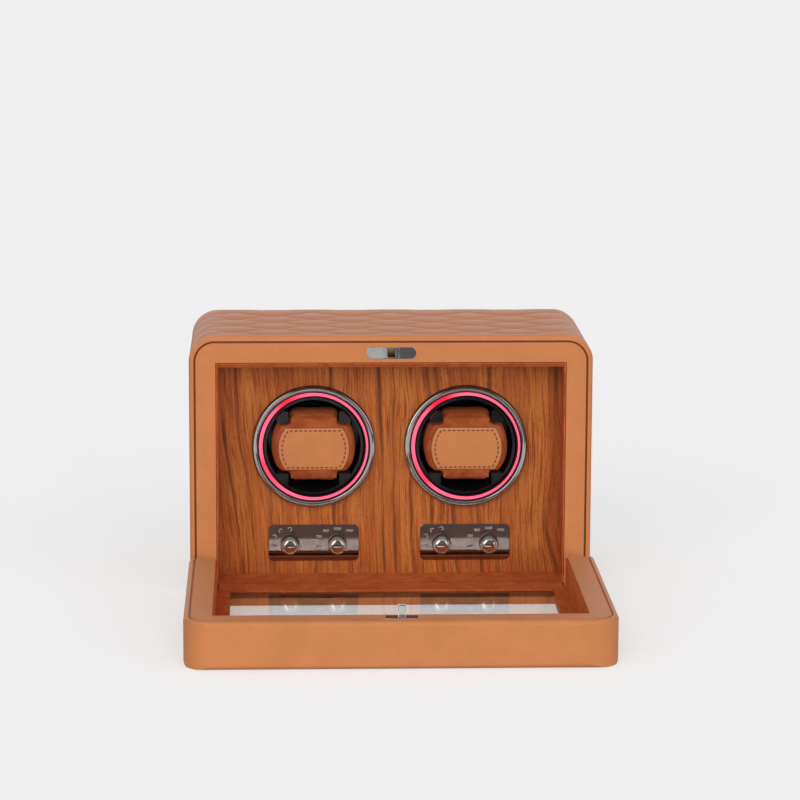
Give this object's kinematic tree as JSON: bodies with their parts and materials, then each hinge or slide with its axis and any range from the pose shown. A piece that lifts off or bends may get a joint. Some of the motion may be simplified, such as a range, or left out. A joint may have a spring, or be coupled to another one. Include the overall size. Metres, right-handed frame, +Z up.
{
  "type": "watch winder box",
  "caption": "Leather-covered watch winder box with a glazed drop-down lid, wooden fascia, round rotors holding cushions in chrome bezels, and knobs for direction and turns.",
  "frame": {"origin": "centre of the case's underside, on the surface it stands on", "axes": "+Z up, -Y towards the open lid and the viewer, +X to the right seen from the front"},
  "size_m": [0.28, 0.338, 0.182],
  "materials": {
    "felt": "pressed felt",
    "carcass_wood": "plain board",
    "quilt_leather": "padded, diamond quilted",
    "rim_leather": "smooth grained",
    "suede": "brushed suede",
    "fascia_wood": "varnished, dark streaks",
    "screw_steel": "bright",
    "black_plastic": "moulded",
    "circuit_board": "green board",
    "chrome": "polished",
    "light_ring": "frosted, lit",
    "bush_bronze": "sintered bronze",
    "drum_black": "gloss black",
    "pulley_plastic": "natural nylon",
    "belt_rubber": "matt",
    "motor_steel": "plated",
    "spring_brass": "spring strip",
    "patch_leather": "smooth, stitched edge",
    "hinge_brass": "lacquered",
    "glass": "clear"
  },
  "bodies": {
    "case": {"base_felt": "felt", "case_carcass": "carcass_wood", "fascia_battens": "carcass_wood", "quilted_wrap": "quilt_leather", "back_panel": "quilt_leather", "front_collar": "rim_leather", "case_lining": "suede", "wood_fascia": "fascia_wood", "back_panel_screws": "screw_steel", "housing_screws": "screw_steel", "hinge_pin": "screw_steel", "power_inlet": "black_plastic", "rotary_switches_left": "black_plastic", "rotary_switches_right": "black_plastic", "winder_housing_left": "black_plastic", "winder_housing_right": "black_plastic", "control_board": "circuit_board", "lamp_board_left": "circuit_board", "lamp_board_right": "circuit_board", "bezel_left": "chrome", "bezel_right": "chrome", "control_plate_left": "chrome", "control_plate_right": "chrome", "strike_plate": "chrome", "light_ring_left": "light_ring", "light_ring_right": "light_ring", "shaft_bushes": "bush_bronze", "drive_belt_left": "belt_rubber", "drive_belt_right": "belt_rubber", "motor_left": "motor_steel", "motor_right": "motor_steel", "motor_bracket_left": "motor_steel", "motor_bracket_right": "motor_steel", "catch_box": "motor_steel", "catch_clip": "spring_brass", "hinge_case_leaf": "hinge_brass", "hinge_screws_case": "hinge_brass"},
    "lid": {"lid_frame": "rim_leather", "lid_lining": "suede", "glass_pane": "glass", "pane_retainer": "suede", "lid_keeper": "chrome", "hinge_lid_leaf": "hinge_brass", "hinge_screws_lid": "hinge_brass"},
    "drum_left": {"drum_cup_left": "drum_black", "drum_shaft_left": "screw_steel", "drum_pulley_left": "pulley_plastic"},
    "drum_right": {"drum_cup_right": "drum_black", "drum_shaft_right": "screw_steel", "drum_pulley_right": "pulley_plastic"},
    "motor_pulley_left": {"motor_pulley_left": "pulley_plastic"},
    "motor_pulley_right": {"motor_pulley_right": "pulley_plastic"},
    "cushion_left": {"cushion_left": "suede", "cushion_patch_left": "patch_leather"},
    "cushion_right": {"cushion_right": "suede", "cushion_patch_right": "patch_leather"},
    "direction_knob_left": {"direction_knob_left": "chrome"},
    "turns_knob_left": {"turns_knob_left": "chrome"},
    "direction_knob_right": {"direction_knob_right": "chrome"},
    "turns_knob_right": {"turns_knob_right": "chrome"}
  },
  "joints": [
    {"name": "lid_hinge", "type": "hinge", "parent": "case", "child": "lid", "pos_m": [0, -0.0945, 0.0065], "axis": [1, 0, 0], "range_deg": [-90, 0]},
    {"name": "drum_spin_left", "type": "hinge", "parent": "case", "child": "drum_left", "pos_m": [-0.0535, -0.018, 0.0995], "axis": [0, 1, 0], "continuous": true},
    {"name": "motor_spin_left", "type": "hinge", "parent": "case", "child": "motor_pulley_left", "pos_m": [-0.09133, 0.025, 0.13733], "axis": [0, 1, 0], "continuous": true},
    {"name": "cushion_slide_left", "type": "slide", "parent": "drum_left", "child": "cushion_left", "axis": [0, -1, 0], "range_m": [0, 0.045]},
    {"name": "direction_turn_left", "type": "hinge", "parent": "case", "child": "direction_knob_left", "pos_m": [-0.0702, -0.048, 0.0293], "axis": [0, 1, 0], "range_deg": [0, 120]},
    {"name": "turns_turn_left", "type": "hinge", "parent": "case", "child": "turns_knob_left", "pos_m": [-0.0368, -0.048, 0.0293], "axis": [0, 1, 0], "range_deg": [-90, 40]},
    {"name": "drum_spin_right", "type": "hinge", "parent": "case", "child": "drum_right", "pos_m": [0.0535, -0.018, 0.0995], "axis": [0, 1, 0], "continuous": true},
    {"name": "motor_spin_right", "type": "hinge", "parent": "case", "child": "motor_pulley_right", "pos_m": [0.09133, 0.025, 0.13733], "axis": [0, 1, 0], "continuous": true},
    {"name": "cushion_slide_right", "type": "slide", "parent": "drum_right", "child": "cushion_right", "axis": [0, -1, 0], "range_m": [0, 0.045]},
    {"name": "direction_turn_right", "type": "hinge", "parent": "case", "child": "direction_knob_right", "pos_m": [0.0368, -0.048, 0.0293], "axis": [0, 1, 0], "range_deg": [0, 120]},
    {"name": "turns_turn_right", "type": "hinge", "parent": "case", "child": "turns_knob_right", "pos_m": [0.0702, -0.048, 0.0293], "axis": [0, 1, 0], "range_deg": [-130, 0]}
  ],
  "couplings": [
    {"joint": "motor_spin_left", "follows": "drum_spin_left", "ratio": 3.4545},
    {"joint": "motor_spin_right", "follows": "drum_spin_right", "ratio": 3.4545}
  ]
}
